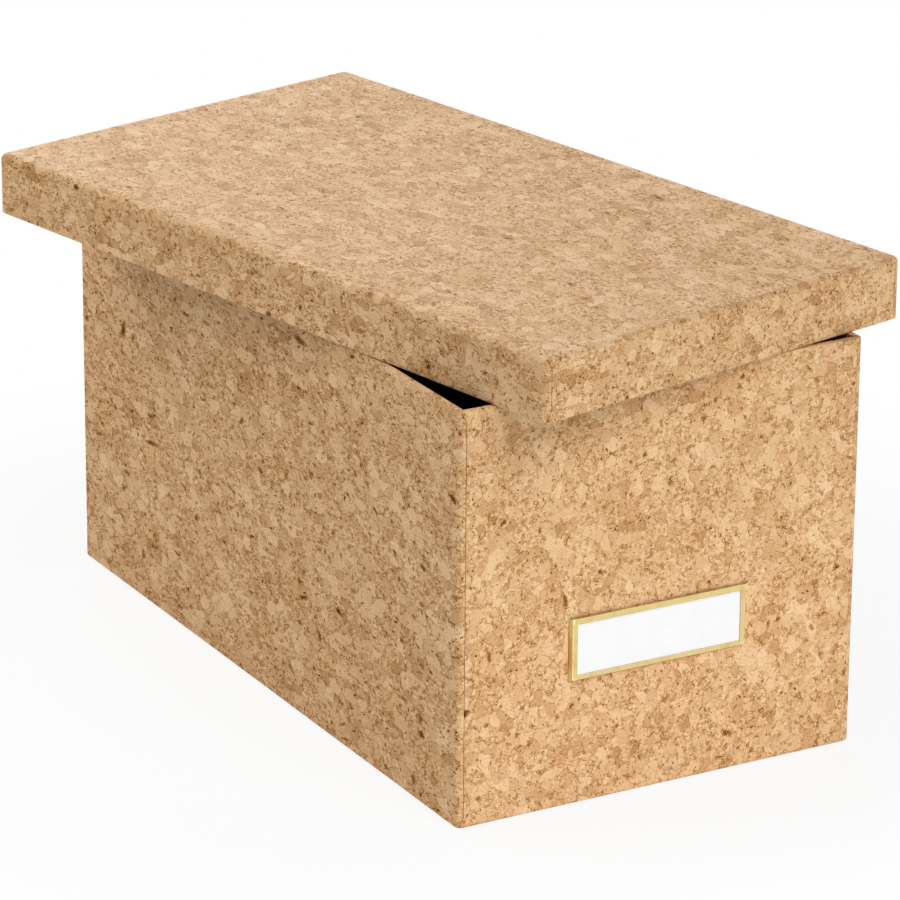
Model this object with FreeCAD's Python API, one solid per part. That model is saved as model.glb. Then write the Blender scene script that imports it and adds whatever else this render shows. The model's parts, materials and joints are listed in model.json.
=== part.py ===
# Storage box for discs, papers and keepsakes: a greyboard tray and a lift-off lid, covered in cork and
# lined with black paper, with a stamped label holder and a slide-in card on the front.
import FreeCAD, Part
import os
from dataclasses import dataclass

Vector = FreeCAD.Vector
SQRT_HALF = 0.5 ** 0.5

# Driving dimensions in millimetres, angles in degrees. X runs across the front, +Y to the back and
# +Z up. The origin is the centre of the underside, on the surface that the box stands on.
box_width = 158.0
box_length = 287.0
box_height = 150.0
board_thickness = 2.0
cork_thickness = 0.3
paper_thickness = 0.2

# Rounding of the cork's outside.
base_corner_radius = 2.4
base_foot_radius = 1.0
lid_corner_radius = 2.8
lid_edge_radius = 2.4
rim_fold_radius = 0.5

# How far the cork is folded inside at the rims and under the floor.
base_turn_in = 15.0
lid_turn_in = 12.0
foot_turn_under = 16.0

# Seams of the cork beside the upright corners: each slants out to the corner at a folded edge.
seam_gap = 0.2
seam_slant = 4.0

# Gummed paper strips let into the boards round the upright corners.
stay_thickness = 0.15
stay_leg = 14.0
stay_end_inset = 2.0

# Underside sheet, set in from the tray's outside.
underside_margin = 3.0

# Lid, and how it lies askew on the rim.
lid_depth = 22.6
lid_clearance = 0.9
lid_turn = 12.0
lid_shift_x = -10.8
lid_shift_y = -6.4
lid_rest_gap = 0.2

# Label holder: a flat bezel held off the cork by flared walls on three sides, open above for the card.
label_offset_x = -1.2
label_centre_z = 57.7
bezel_width = 68.4
bezel_height = 22.2
bezel_side_bar = 1.7
bezel_bottom_bar = 1.5
bezel_top_bar = 2.1
bezel_edge_radius = 0.35
label_stand_off = 1.6
label_wall_flare = 1.1
label_sheet = 0.5
prong_width = 5.0
prong_clinch = 6.0
prong_clearance = 0.1

# Card, loose between the bezel and the cork.
card_thickness = 0.4
card_play = 0.15
card_side_play = 0.3
card_below_bezel = 0.4

# Depths of the layers, from the cork's outside inwards.
board_inner = cork_thickness + board_thickness
rim_thickness = board_inner + cork_thickness
lined_wall = board_inner + paper_thickness
mid_board = cork_thickness + board_thickness / 2


@dataclass(frozen=True)
class Tray:
    """Outside of an open tray over its cork, standing on its floor."""

    width: float
    length: float
    bottom: float
    top: float
    corner: float
    floor_edge: float
    turn_in: float

    def space(self, inset, low, high):
        """Straight-sided block, set in from the tray's walls."""
        width = self.width - 2 * inset
        length = self.length - 2 * inset
        return Part.makeBox(width, length, high - low, Vector(-width / 2, -length / 2, low))

    def filled(self, inset):
        """Rounded block that fills the tray, set in from its outside."""
        low = self.bottom + inset
        solid = self.space(inset, low, self.top - inset)
        upright = [edge for edge in solid.Edges if edge.BoundBox.ZLength > self.floor_edge]
        solid = solid.makeFillet(self.corner - inset, upright)
        floor_edge = min(self.floor_edge, self.corner) - inset
        return solid.makeFillet(floor_edge, level_edges(solid, low))


base_tray = Tray(
    width=box_width,
    length=box_length,
    bottom=paper_thickness,
    top=box_height,
    corner=base_corner_radius,
    floor_edge=base_foot_radius,
    turn_in=base_turn_in,
)
# The lid is a shallow tray, made on its back and turned over where it is placed.
lid_tray = Tray(
    width=box_width + 2 * (rim_thickness + lid_clearance),
    length=box_length + 2 * (rim_thickness + lid_clearance),
    bottom=0.0,
    top=lid_depth,
    corner=lid_corner_radius,
    floor_edge=lid_edge_radius,
    turn_in=lid_turn_in,
)


def level_edges(solid, height):
    """Edges that lie at one height."""
    tolerance = 1e-5
    return [
        edge for edge in solid.Edges
        if all(abs(vertex.Z - height) < tolerance for vertex in edge.Vertexes)
    ]


def turned(solid, angle):
    """Copy turned about the upright axis through the origin."""
    copy = solid.copy()
    copy.rotate(Vector(0, 0, 0), Vector(0, 0, 1), angle)
    return copy


def mitred_board(outer_half, outer_low, outer_high, inner_low, inner_high):
    """Board with mitred ends, its outer face on y = 0 looking towards -Y."""
    inner_half = outer_half - board_thickness
    return Part.makeWedge(
        -outer_half, 0, outer_low, inner_low, -inner_half,
        outer_half, board_thickness, outer_high, inner_high, inner_half,
    )


def carcass(tray, stays):
    """Floor and four walls of a tray, mitred where they meet and let in for the corner stays."""
    half_width = tray.width / 2 - cork_thickness
    half_length = tray.length / 2 - cork_thickness
    floor = tray.bottom + cork_thickness
    rim = tray.top - cork_thickness
    envelope = tray.filled(cork_thickness)
    boards = {}
    for name, angle, half, reach in (
        ("front", 0, half_width, half_length),
        ("right", 90, half_length, half_width),
        ("back", 180, half_width, half_length),
        ("left", 270, half_length, half_width),
    ):
        board = mitred_board(half, floor, rim, floor + board_thickness, rim)
        board.translate(Vector(0, -reach, 0))
        boards[name] = turned(board, angle).common(envelope).cut(stays)
    inner_half_length = half_length - board_thickness
    board = mitred_board(half_width, -half_length, half_length, -inner_half_length, inner_half_length)
    board.rotate(Vector(0, 0, 0), Vector(1, 0, 0), 90)
    board.translate(Vector(0, 0, floor))
    boards["floor"] = board.common(envelope)
    return boards


def corner_stays(tray):
    """Paper strips let into the boards' outside round the four upright corners."""
    low = tray.bottom + max(tray.floor_edge, cork_thickness) + stay_end_inset
    high = tray.top - cork_thickness - stay_end_inset
    skin = tray.filled(cork_thickness).cut(tray.filled(cork_thickness + stay_thickness))
    strips = []
    for side_x in (-1, 1):
        for side_y in (-1, 1):
            corner = Part.makeBox(2 * stay_leg, 2 * stay_leg, high - low)
            centre = Vector(side_x * tray.width / 2, side_y * tray.length / 2, low)
            corner.translate(centre - Vector(stay_leg, stay_leg, 0))
            strips.append(skin.common(corner).Solids[0])
    return Part.Compound(strips)


def cork_skin(tray):
    """Cork over a tray's whole outside, folded over the rim and down inside."""
    fold = tray.top - tray.turn_in
    core = tray.filled(cork_thickness).cut(tray.space(board_inner, fold, tray.top))
    mouth = tray.space(rim_thickness, fold, tray.top + cork_thickness)
    outside = tray.filled(0)
    outside = outside.makeFillet(rim_fold_radius, level_edges(outside, tray.top))
    return outside.cut(core).cut(mouth)


def prism(points, run):
    """Closed outline swept along a straight run."""
    return Part.Face(Part.makePolygon(points + points[:1])).extrude(run)


def seam_wall(tray, low, gap):
    """Front wall's outside between its seams, which slant out to the corners at each folded edge."""
    straight = tray.width / 2 - tray.corner + gap
    wide = tray.width / 2 - tray.corner * (1 - SQRT_HALF) + gap
    edge = [(wide, tray.top + cork_thickness), (wide, tray.top), (straight, tray.top - seam_slant)]
    if low < tray.bottom:
        edge += [(straight, tray.bottom + seam_slant), (wide, tray.bottom), (wide, low)]
    else:
        edge += [(straight, low)]
    outline = edge + [(-x, z) for x, z in reversed(edge)]
    front = -tray.length / 2 - cork_thickness
    return prism([Vector(x, front, z) for x, z in outline], Vector(0, cork_thickness + mid_board, 0))


def mitred_end(tray, low, gap):
    """Front end of a tray between the mitres of its folds, as deep as the cork is folded under."""
    front = -tray.length / 2 - cork_thickness
    outer_half = tray.width / 2 + cork_thickness + gap
    depth = cork_thickness + foot_turn_under
    outline = [(outer_half, front), (outer_half - depth, front + depth)]
    outline += [(-x, y) for x, y in reversed(outline)]
    height = tray.top + cork_thickness - low
    return prism([Vector(x, y, low) for x, y in outline], Vector(0, 0, height))


def front_sheet_space(tray, low, gap):
    """Space that the front cork sheet takes, down to a height, with its seams moved out by a gap."""
    wall = seam_wall(tray, low, gap)
    inside = tray.space(0, low, tray.top + cork_thickness)
    inside.translate(Vector(0, mid_board, 0))
    fold_limit = tray.space(0, low, tray.top + cork_thickness)
    fold_limit.translate(Vector(0, rim_thickness + gap, 0))
    space = wall.fuse(inside.cut(fold_limit))
    if low < tray.bottom:
        space = space.fuse(tray.space(0, low, tray.bottom + cork_thickness))
    return space.common(mitred_end(tray, low, gap))


def round_inner_rim(tray, cork):
    """Round the cork's fold along the straight inner edges of a rim."""
    straight_run = 2 * tray.corner
    edges = [
        edge for edge in level_edges(cork, tray.top)
        if edge.Length > straight_run
        and (abs(abs(edge.CenterOfMass.x) - tray.width / 2 + rim_thickness) < cork_thickness / 2
             or abs(abs(edge.CenterOfMass.y) - tray.length / 2 + rim_thickness) < cork_thickness / 2)
    ]
    return cork.makeFillet(rim_fold_radius, edges)


def base_cork_sheets():
    """Four cork sheets of the tray, each folded over the rim and under the floor."""
    tray = base_tray
    low = tray.bottom - cork_thickness
    window = tray.space(foot_turn_under, low, tray.bottom + 2 * cork_thickness)
    skin = cork_skin(tray).cut(window)
    front = round_inner_rim(tray, skin.common(front_sheet_space(tray, low, 0)))
    wider = front_sheet_space(tray, low, seam_gap)
    sides = skin.cut(wider).cut(turned(wider, 180))
    left, right = sorted(sides.Solids, key=lambda solid: solid.CenterOfMass.x)
    return {
        "front": front,
        "back": turned(front, 180),
        "left": round_inner_rim(tray, left),
        "right": round_inner_rim(tray, right),
    }


def lid_cork_cover():
    """One cork sheet over the lid, slit beside the corners where its four sides are folded down."""
    tray = lid_tray
    low = tray.bottom + tray.floor_edge
    slits = front_sheet_space(tray, low, seam_gap).cut(front_sheet_space(tray, low, 0))
    cover = cork_skin(tray).cut(slits).cut(turned(slits, 180))
    return round_inner_rim(tray, cover)


def floor_lining(tray):
    """Paper over the floor, from wall to wall."""
    low = tray.bottom + board_inner
    return tray.space(board_inner, low, low + paper_thickness)


def wall_lining(tray):
    """Paper band round the walls, from the floor lining to the folded-in cork."""
    low = tray.bottom + lined_wall
    high = tray.top - tray.turn_in - seam_gap
    return tray.space(board_inner, low, high).cut(tray.space(lined_wall, low, high))


def label_wall_span():
    """Width of the label holder's sheet along X where it slopes from the bezel to the foot."""
    slope = label_wall_flare / label_stand_off
    return label_sheet * (1 + slope ** 2) ** 0.5


def label_shell(front, half_front, half_foot, low_front, low_foot, high):
    """Block that widens from the bezel to the foot on y = 0, straight above."""
    return Part.makeWedge(
        -half_front, front, low_front, low_foot, -half_foot,
        half_front, 0, high, high, half_foot,
    )


def prongs(grow):
    """Prongs from the label holder's foot through the wall, clinched towards each other inside."""
    centre = bezel_width / 2 + label_wall_flare - label_wall_span() / 2
    thick = label_sheet + 2 * grow
    wide = prong_width + 2 * grow
    low = label_centre_z - wide / 2
    solids = []
    for side in (-1, 1):
        shank = Part.makeBox(thick, lined_wall + label_sheet, wide)
        shank.translate(Vector(side * centre - thick / 2, 0, low))
        clinch = Part.makeBox(prong_clinch, label_sheet, wide)
        clinch_start = side * centre - (prong_clinch if side > 0 else 0)
        clinch.translate(Vector(clinch_start, lined_wall, low))
        solids.append(shank.fuse(clinch).removeSplitter())
    return solids


def place_label(solid):
    """Move a piece of the label holder from its own origin to the front of the tray."""
    solid.translate(Vector(label_offset_x, -box_length / 2, 0))
    return solid


def label_frame():
    """Stamped label holder: bezel with a window, three flared walls and two prongs."""
    low = label_centre_z - bezel_height / 2
    high = label_centre_z + bezel_height / 2
    half = bezel_width / 2
    span = label_wall_span()
    flare_at_sheet = label_wall_flare * label_sheet / label_stand_off
    outside = label_shell(
        -label_stand_off, half, half + label_wall_flare, low, low - label_wall_flare, high,
    )
    bezel_edges = [
        edge for edge in outside.Edges
        if all(abs(vertex.Y + label_stand_off) < label_sheet / 2 for vertex in edge.Vertexes)
    ]
    outside = outside.makeFillet(bezel_edge_radius, bezel_edges)
    inset = span - flare_at_sheet
    inside = label_shell(
        label_sheet - label_stand_off,
        half - inset, half + label_wall_flare - span,
        low + inset, low - label_wall_flare + span,
        high + label_sheet,
    )
    window_depth = label_stand_off + label_sheet
    window = Part.makeBox(
        bezel_width - 2 * bezel_side_bar,
        window_depth,
        bezel_height - bezel_bottom_bar - bezel_top_bar,
        Vector(bezel_side_bar - half, -window_depth, low + bezel_bottom_bar),
    )
    frame = outside.cut(inside).cut(window)
    return place_label(frame.multiFuse(prongs(0)).removeSplitter())


def label_card():
    """Bare card standing on the label holder's lower wall, just behind the bezel."""
    span = label_wall_span()
    inset = span - label_wall_flare * label_sheet / label_stand_off
    low = label_centre_z - bezel_height / 2 + inset + card_play
    high = label_centre_z + bezel_height / 2 - card_below_bezel
    width = bezel_width - 2 * inset - 2 * card_side_play
    front = label_sheet - label_stand_off + card_play
    return place_label(Part.makeBox(width, card_thickness, high - low, Vector(-width / 2, front, low)))


def place_lid(shape):
    """Turn a piece of the lid over and lay it askew on the tray's rim."""
    copy = shape.mirror(Vector(0, 0, 0), Vector(0, 0, 1))
    copy.translate(Vector(0, 0, lid_depth))
    copy = turned(copy, lid_turn)
    copy.translate(Vector(lid_shift_x, lid_shift_y, box_height + lid_rest_gap))
    return copy


def base_nodes():
    """Every piece of the tray."""
    slits = Part.Compound([place_label(solid) for solid in prongs(prong_clearance)])
    stays = corner_stays(base_tray)
    boards = carcass(base_tray, stays)
    boards["front"] = boards["front"].cut(slits)
    cork = base_cork_sheets()
    cork["front"] = cork["front"].cut(slits)
    nodes = {"base_bottom_board": boards.pop("floor")}
    nodes.update({f"base_{side}_board": board for side, board in boards.items()})
    nodes["base_corner_stays"] = stays
    nodes.update({f"base_{side}_cork": sheet for side, sheet in cork.items()})
    nodes["base_underside_sheet"] = base_tray.space(underside_margin, 0, paper_thickness)
    nodes["base_floor_lining"] = floor_lining(base_tray)
    nodes["base_wall_lining"] = wall_lining(base_tray).cut(slits)
    nodes["label_frame"] = label_frame()
    nodes["label_card"] = label_card()
    return nodes


def lid_nodes():
    """Every piece of the lid, placed askew on the rim."""
    stays = corner_stays(lid_tray)
    boards = carcass(lid_tray, stays)
    nodes = {"lid_top_board": boards.pop("floor")}
    nodes.update({f"lid_{side}_board": board for side, board in boards.items()})
    nodes["lid_corner_stays"] = stays
    nodes["lid_cork_cover"] = lid_cork_cover()
    nodes["lid_top_lining"] = floor_lining(lid_tray)
    nodes["lid_wall_lining"] = wall_lining(lid_tray)
    return {name: place_lid(shape) for name, shape in nodes.items()}


def main():
    """Build every piece and write one file for each."""
    os.makedirs("parts", exist_ok=True)
    for name, shape in {**base_nodes(), **lid_nodes()}.items():
        shape.exportStep(f"parts/{name}.step")
        print(f"{name}: {len(shape.Solids)} solid(s), {shape.Volume:.1f} mm3, valid {shape.isValid()}")


main()
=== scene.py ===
"""Looks of a cork-covered storage box with a lift-off lid and a label holder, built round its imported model.

Lengths are in metres, in the model's own frame: X runs across the front, +Y to the back and +Z up.
"""
import json
import logging
import math
from collections.abc import Iterable, Sequence
from dataclasses import dataclass
from enum import Enum
from functools import reduce

import bmesh
import bpy
from mathutils import Matrix, Vector, noise


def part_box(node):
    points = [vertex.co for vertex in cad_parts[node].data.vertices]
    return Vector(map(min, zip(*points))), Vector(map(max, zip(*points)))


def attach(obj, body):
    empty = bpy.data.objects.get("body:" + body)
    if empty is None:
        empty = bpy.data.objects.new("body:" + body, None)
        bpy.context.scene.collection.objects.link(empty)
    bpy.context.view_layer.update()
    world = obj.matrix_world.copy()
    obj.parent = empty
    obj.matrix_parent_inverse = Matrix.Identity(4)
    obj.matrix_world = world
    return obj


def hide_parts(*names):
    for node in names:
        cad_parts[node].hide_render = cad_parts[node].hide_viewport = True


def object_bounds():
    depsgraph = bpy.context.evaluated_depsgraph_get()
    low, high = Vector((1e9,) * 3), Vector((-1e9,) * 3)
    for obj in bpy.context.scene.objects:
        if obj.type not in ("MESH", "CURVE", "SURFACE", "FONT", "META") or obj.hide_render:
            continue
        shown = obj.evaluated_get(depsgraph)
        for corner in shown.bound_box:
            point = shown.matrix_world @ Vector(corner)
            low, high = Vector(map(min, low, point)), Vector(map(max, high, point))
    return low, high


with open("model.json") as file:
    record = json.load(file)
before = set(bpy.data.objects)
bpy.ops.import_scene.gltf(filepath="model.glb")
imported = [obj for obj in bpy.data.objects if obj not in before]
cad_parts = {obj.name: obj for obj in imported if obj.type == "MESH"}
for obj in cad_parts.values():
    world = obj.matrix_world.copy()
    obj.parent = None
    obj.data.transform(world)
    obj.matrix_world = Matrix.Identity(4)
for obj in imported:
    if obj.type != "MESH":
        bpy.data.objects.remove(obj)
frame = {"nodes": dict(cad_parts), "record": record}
cad_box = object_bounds()

MM = 0.001
SEAM_SHADE = 0.2 * MM
log = logging.getLogger("storage_box")

Socket = bpy.types.NodeSocket
Input = float | Sequence[float] | Socket
Seen = tuple[int, int, int]


def shade(red: int, green: int, blue: int) -> tuple[float, float, float, float]:
    """Turn a colour as it is seen, 0 to 255, into the linear colour that a shader takes.

    Args:
        red: Red share.
        green: Green share.
        blue: Blue share.

    Returns:
        Linear red, green and blue, and full opacity.
    """
    parts = [part / 255 for part in (red, green, blue)]
    linear = [part / 12.92 if part <= 0.04045 else ((part + 0.055) / 1.055) ** 2.4 for part in parts]
    return (*linear, 1.0)


class NodeBench:
    """Adds nodes to one material or group and joins them."""

    def __init__(self, tree: bpy.types.NodeTree) -> None:
        """Take the tree that the nodes go into."""
        self.tree = tree

    def add(
        self, kind: str, inputs: dict[str | int, Input] | None = None, **options: object
    ) -> bpy.types.Node:
        """Add a node, set its options, and fill or link its inputs.

        Args:
            kind: Name of the node's type, without its leading ShaderNode.
            inputs: Value, or source socket, of each named or numbered input.
            **options: Settings of the node.

        Returns:
            The new node.
        """
        node = self.tree.nodes.new("ShaderNode" + kind)
        for name, value in options.items():
            setattr(node, name, value)
        self.feed(node, inputs or {})
        return node

    def feed(self, node: bpy.types.Node, inputs: dict[str | int, Input]) -> None:
        """Fill or link the inputs of a node.

        Args:
            node: Node of this tree.
            inputs: Value, or source socket, of each named or numbered input.
        """
        for name, value in inputs.items():
            if isinstance(value, Socket):
                self.tree.links.new(value, node.inputs[name])
            else:
                node.inputs[name].default_value = value

    def math(self, operation: str, *values: Input) -> Socket:
        """Give a sum, product or other arithmetic of one to three values."""
        return self.add("Math", dict(enumerate(values)), operation=operation).outputs[0]

    def move(self, operation: str, *vectors: Input) -> Socket:
        """Give a sum, product or other arithmetic of two vectors."""
        return self.add("VectorMath", dict(enumerate(vectors)), operation=operation).outputs[0]

    def length(self, vector: Input) -> Socket:
        """Give the length of a vector."""
        return self.add("VectorMath", {0: vector}, operation="LENGTH").outputs["Value"]

    def largest(self, values: Sequence[Socket]) -> Socket:
        """Give the largest of several values."""
        return reduce(lambda first, second: self.math("MAXIMUM", first, second), values)

    def place(self, scale: Sequence[float] = (1 / MM,) * 3, shift: Sequence[float] = (0.0,) * 3) -> Socket:
        """Give the place on the piece from Object coordinates, scaled, by default to mm, and then shifted."""
        inputs = {"Vector": self.add("TexCoord").outputs["Object"], "Location": shift, "Scale": scale}
        return self.add("Mapping", inputs).outputs[0]

    def turned(self, place: Input, angles: Input) -> Socket:
        """Turn a place round the origin by its angles about X, Y and Z."""
        inputs = {"Vector": place, "Rotation": angles}
        return self.add("VectorRotate", inputs, rotation_type="EULER_XYZ").outputs[0]

    def blend(self, mode: str, share: Input, first: Input, second: Input) -> Socket:
        """Lay a second colour over a first one by a share."""
        return self.add("Mix", {0: share, 6: first, 7: second}, data_type="RGBA", blend_type=mode).outputs[2]

    def between(self, share: Input, first: Input, second: Input) -> Socket:
        """Give a value between two others by a share."""
        return self.add("Mix", {0: share, 2: first, 3: second}, data_type="FLOAT").outputs[0]

    def remap(self, value: Input, low: float, high: float, start: float = 0.0, end: float = 1.0) -> Socket:
        """Ease a value's range onto another.

        Args:
            value: Value to ease.
            low: Value that gives the start.
            high: Value that gives the end.
            start: Result at and below the low value.
            end: Result at and above the high value.

        Returns:
            The eased value.
        """
        inputs = {"Value": value, "From Min": low, "From Max": high, "To Min": start, "To Max": end}
        return self.add("MapRange", inputs, interpolation_type="SMOOTHSTEP").outputs[0]

    def noise(self, place: Input, size: float, detail: float = 2.0) -> bpy.types.Node:
        """Add cloudy noise whose blotches have a given size."""
        return self.add("TexNoise", {"Vector": place, "Scale": 1 / size, "Detail": detail})

    def cells(self, place: Input, size: float, feature: str = "F1") -> bpy.types.Node:
        """Add cells of a given size, each with its own random colour."""
        return self.add("TexVoronoi", {"Vector": place, "Scale": 1 / size}, feature=feature)

    def ramp(self, value: Input, stops: Iterable[tuple[float, Seen]]) -> Socket:
        """Colour a value by a row of stops.

        Args:
            value: Value from 0 to 1.
            stops: Place and seen colour of each stop, in rising order.

        Returns:
            The colour.
        """
        node = self.add("ValToRGB", {0: value})
        elements = node.color_ramp.elements
        for index, (place, seen) in enumerate(stops):
            element = elements[index] if index < len(elements) else elements.new(place)
            element.position = place
            element.color = shade(*seen)
        return node.outputs[0]

    def bump(self, height: Socket, distance: float, strength: float) -> Socket:
        """Give the normal of a surface with fine relief."""
        return self.add("Bump", {"Height": height, "Distance": distance, "Strength": strength}).outputs[0]


class Effect:
    """Node group that several materials place, each with its own values."""

    def __init__(self, name: str, inputs: dict[str, str], outputs: dict[str, str]) -> None:
        """Open a group with named sockets.

        Args:
            name: Name of the group.
            inputs: Socket type of each input.
            outputs: Socket type of each output.
        """
        self.tree = bpy.data.node_groups.new(name, "ShaderNodeTree")
        for direction, sockets in (("INPUT", inputs), ("OUTPUT", outputs)):
            for label, kind in sockets.items():
                self.tree.interface.new_socket(label, in_out=direction, socket_type="NodeSocket" + kind)
        self.bench = NodeBench(self.tree)
        self.inputs = self.tree.nodes.new("NodeGroupInput").outputs
        self.end = self.tree.nodes.new("NodeGroupOutput")

    def close(self, results: dict[str, Socket]) -> bpy.types.NodeTree:
        """Send the results out of the group, and give the group."""
        self.bench.feed(self.end, results)
        return self.tree


def new_finish(name: str) -> tuple[bpy.types.Material, NodeBench, bpy.types.Node]:
    """Open a material.

    Args:
        name: Name of the material.

    Returns:
        The material, the bench for its nodes, and its shader.
    """
    material = bpy.data.materials.new(name)
    material.use_nodes = True
    return material, NodeBench(material.node_tree), material.node_tree.nodes["Principled BSDF"]


@dataclass(frozen=True)
class Blotches:
    """Cloudy noise whose values from low to high are eased onto those from start to end. Size in mm."""

    size: float
    detail: float
    low: float
    high: float
    start: float = 0.0
    end: float = 1.0

    def spread(self, bench: NodeBench, place: Input) -> Socket:
        """Give the eased noise at a place."""
        cloudy = bench.noise(place, self.size, self.detail).outputs[0]
        return bench.remap(cloudy, self.low, self.high, self.start, self.end)


@dataclass(frozen=True)
class DarkBits:
    """Bits of bark scattered through pressed cork, each turned its own way. Sizes in mm.

    The shares tell how many of the cells hold a bit where bark is rare and where it is common. A bit is
    darkest up to its core and fades out towards its outline, both as shares of its half sizes.
    """

    spacing: float
    half_length: float
    half_width: float
    rare_share: float
    common_share: float
    darkness: float
    most_turns: float = 7.0
    sizes: tuple[float, float] = (0.55, 1.25)
    raggedness: float = 0.35
    core: float = 0.35
    outline: float = 1.1
    palest_share: float = 0.5

    def scatter(self, bench: NodeBench, place: Socket, ragged: Socket, barky: Socket) -> Socket:
        """Add the bits to a group.

        Args:
            bench: Bench of the group.
            place: Bent place in mm.
            ragged: Unevenness of the bits' outlines, from -1 to 1.
            barky: How common bark is, from 0 to 1.

        Returns:
            How much each place is darkened.
        """
        cells = bench.cells(place, self.spacing)
        chance, size, strength = bench.add("SeparateColor", {0: cells.outputs["Color"]}).outputs
        own_turn = bench.move("MULTIPLY", cells.outputs["Color"], (self.most_turns * math.tau,) * 3)
        from_middle = bench.move("SUBTRACT", place, cells.outputs["Position"])
        axes = (1 / self.half_length, 1 / self.half_width, 1 / self.half_width)
        reach = bench.length(bench.move("MULTIPLY", bench.turned(from_middle, own_turn), axes))
        reach = bench.math("DIVIDE", reach, bench.between(size, *self.sizes))
        reach = bench.math("MULTIPLY_ADD", ragged, self.raggedness, reach)
        held = bench.math("LESS_THAN", chance, bench.between(barky, self.rare_share, self.common_share))
        inside = bench.math("MULTIPLY", bench.remap(reach, self.core, self.outline, 1.0, 0.0), held)
        dark = bench.between(strength, self.palest_share * self.darkness, self.darkness)
        return bench.math("MULTIPLY", inside, dark)


@dataclass(frozen=True)
class CorkGrain:
    """Pressed cork: granules with crumbs between them, thin dark outlines and bits of bark. Sizes in mm."""

    granule: float = 3.9
    crumb: float = 1.15
    whole_share: float = 0.45
    pale_power: float = 0.6
    pale_middle: float = 0.62
    crumb_spread: float = 0.22
    granule_spread: float = 0.27
    line_width: float = 0.2
    line_darkness: float = 0.3
    line_breaks: Blotches = Blotches(1.8, 2.0, 0.42, 0.66)
    streak_length: float = 2.4
    streak_width: float = 0.55
    streaks: Blotches = Blotches(1.0, 1.0, 0.3, 0.66, -1.0, 1.0)
    streak_tones: tuple[float, float] = (0.03, 0.13)
    grit: Blotches = Blotches(0.5, 3.0, 0.25, 0.75, -1.0, 1.0)
    grit_tone: float = 0.03
    cloud: Blotches = Blotches(16.0, 2.0, 0.3, 0.7, -1.0, 1.0)
    cloud_tone: float = 0.035
    bark_spots: Blotches = Blotches(7.0, 3.0, 0.36, 0.7)
    bits: tuple[DarkBits, ...] = (
        DarkBits(0.9, 0.5, 0.22, 0.2, 0.6, 0.32),
        DarkBits(1.9, 1.1, 0.4, 0.2, 0.7, 0.56),
        DarkBits(4.6, 2.1, 0.85, 0.1, 0.6, 0.46),
        DarkBits(13.0, 3.6, 1.25, 0.2, 0.8, 0.58),
    )
    warps: tuple[tuple[float, float], ...] = ((5.0, 2.4), (1.6, 0.8), (0.5, 0.2))
    tones: tuple[tuple[float, Seen], ...] = (
        (0.0, (46, 20, 4)),
        (0.15, (82, 40, 8)),
        (0.3, (118, 68, 22)),
        (0.45, (153, 102, 48)),
        (0.6, (187, 138, 88)),
        (0.75, (216, 171, 124)),
        (0.9, (234, 196, 151)),
        (1.0, (243, 210, 169)),
    )
    middle_tone: float = 0.81
    tints: tuple[tuple[float, Seen], ...] = (
        (0.0, (255, 250, 246)),
        (0.35, (255, 255, 255)),
        (0.7, (253, 255, 251)),
        (1.0, (255, 253, 244)),
    )
    tint_share: float = 0.75
    lump: float = 2.4
    lump_height: float = 0.7
    pit: float = 1.0

    def warped(self, bench: NodeBench, place: Socket) -> Socket:
        """Bend a place by noise of several sizes, so that no granule keeps straight sides.

        Args:
            bench: Bench of the group.
            place: Place in mm.

        Returns:
            The bent place.
        """
        bent = place
        for size, shift in self.warps:
            drift = bench.move("SUBTRACT", bench.noise(place, size).outputs[1], (0.5, 0.5, 0.5))
            bent = bench.move("ADD", bent, bench.move("MULTIPLY", drift, (shift,) * 3))
        return bent

    def outlines(self, bench: NodeBench, place: Socket, bent: Socket, whole: Socket) -> Socket:
        """Draw broken lines round granules and crumbs.

        Args:
            bench: Bench of the group.
            place: Place in mm.
            bent: Bent place in mm.
            whole: 1 in a whole granule and 0 among crumbs.

        Returns:
            The lines, 1 in their middle and 0 beside them.
        """
        granule_edge, crumb_edge = (
            bench.math("MULTIPLY", bench.cells(bent, size, "DISTANCE_TO_EDGE").outputs["Distance"], size)
            for size in (self.granule, self.crumb)
        )
        to_edge = bench.math("MINIMUM", granule_edge, bench.math("ADD", crumb_edge, whole))
        line = bench.remap(to_edge, 0.0, self.line_width, 1.0, 0.0)
        return bench.math("MULTIPLY", line, self.line_breaks.spread(bench, place))

    def streaked(self, bench: NodeBench, bent: Socket, bit: Socket) -> Socket:
        """Draw fine streaks that run their own way in each granule.

        Args:
            bench: Bench of the group.
            bent: Bent place in mm.
            bit: Random colour of each granule and crumb.

        Returns:
            The streaks, from -1 to 1.
        """
        turned = bench.turned(bent, bench.move("MULTIPLY", bit, (math.tau,) * 3))
        streak_size = (1 / self.streak_width, 1 / self.streak_width, 1 / self.streak_length)
        return self.streaks.spread(bench, bench.move("MULTIPLY", turned, streak_size))

    def group(self) -> bpy.types.NodeTree:
        """Build the group, which takes a place in mm and a contrast.

        Returns:
            The group, which gives colour, dark marks and height.
        """
        effect = Effect(
            "cork_grain",
            {"Place": "Vector", "Contrast": "Float"},
            {"Colour": "Color", "Marks": "Float", "Height": "Float"},
        )
        bench = effect.bench
        place = effect.inputs["Place"]
        bent = self.warped(bench, place)

        granules, crumbs = (bench.cells(bent, size).outputs["Color"] for size in (self.granule, self.crumb))
        kind = bench.add("SeparateColor", {0: granules}).outputs[2]
        whole = bench.math("LESS_THAN", kind, self.whole_share)
        bit = bench.blend("MIX", whole, crumbs, granules)
        lightness, hue, sheen = bench.add("SeparateColor", {0: bit}).outputs

        grit = self.grit.spread(bench, place)
        barky = self.bark_spots.spread(bench, place)
        line = self.outlines(bench, place, bent, whole)
        marks = bench.largest([
            *(bits.scatter(bench, bent, grit, barky) for bits in self.bits),
            bench.math("MULTIPLY", line, self.line_darkness),
        ])

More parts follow.
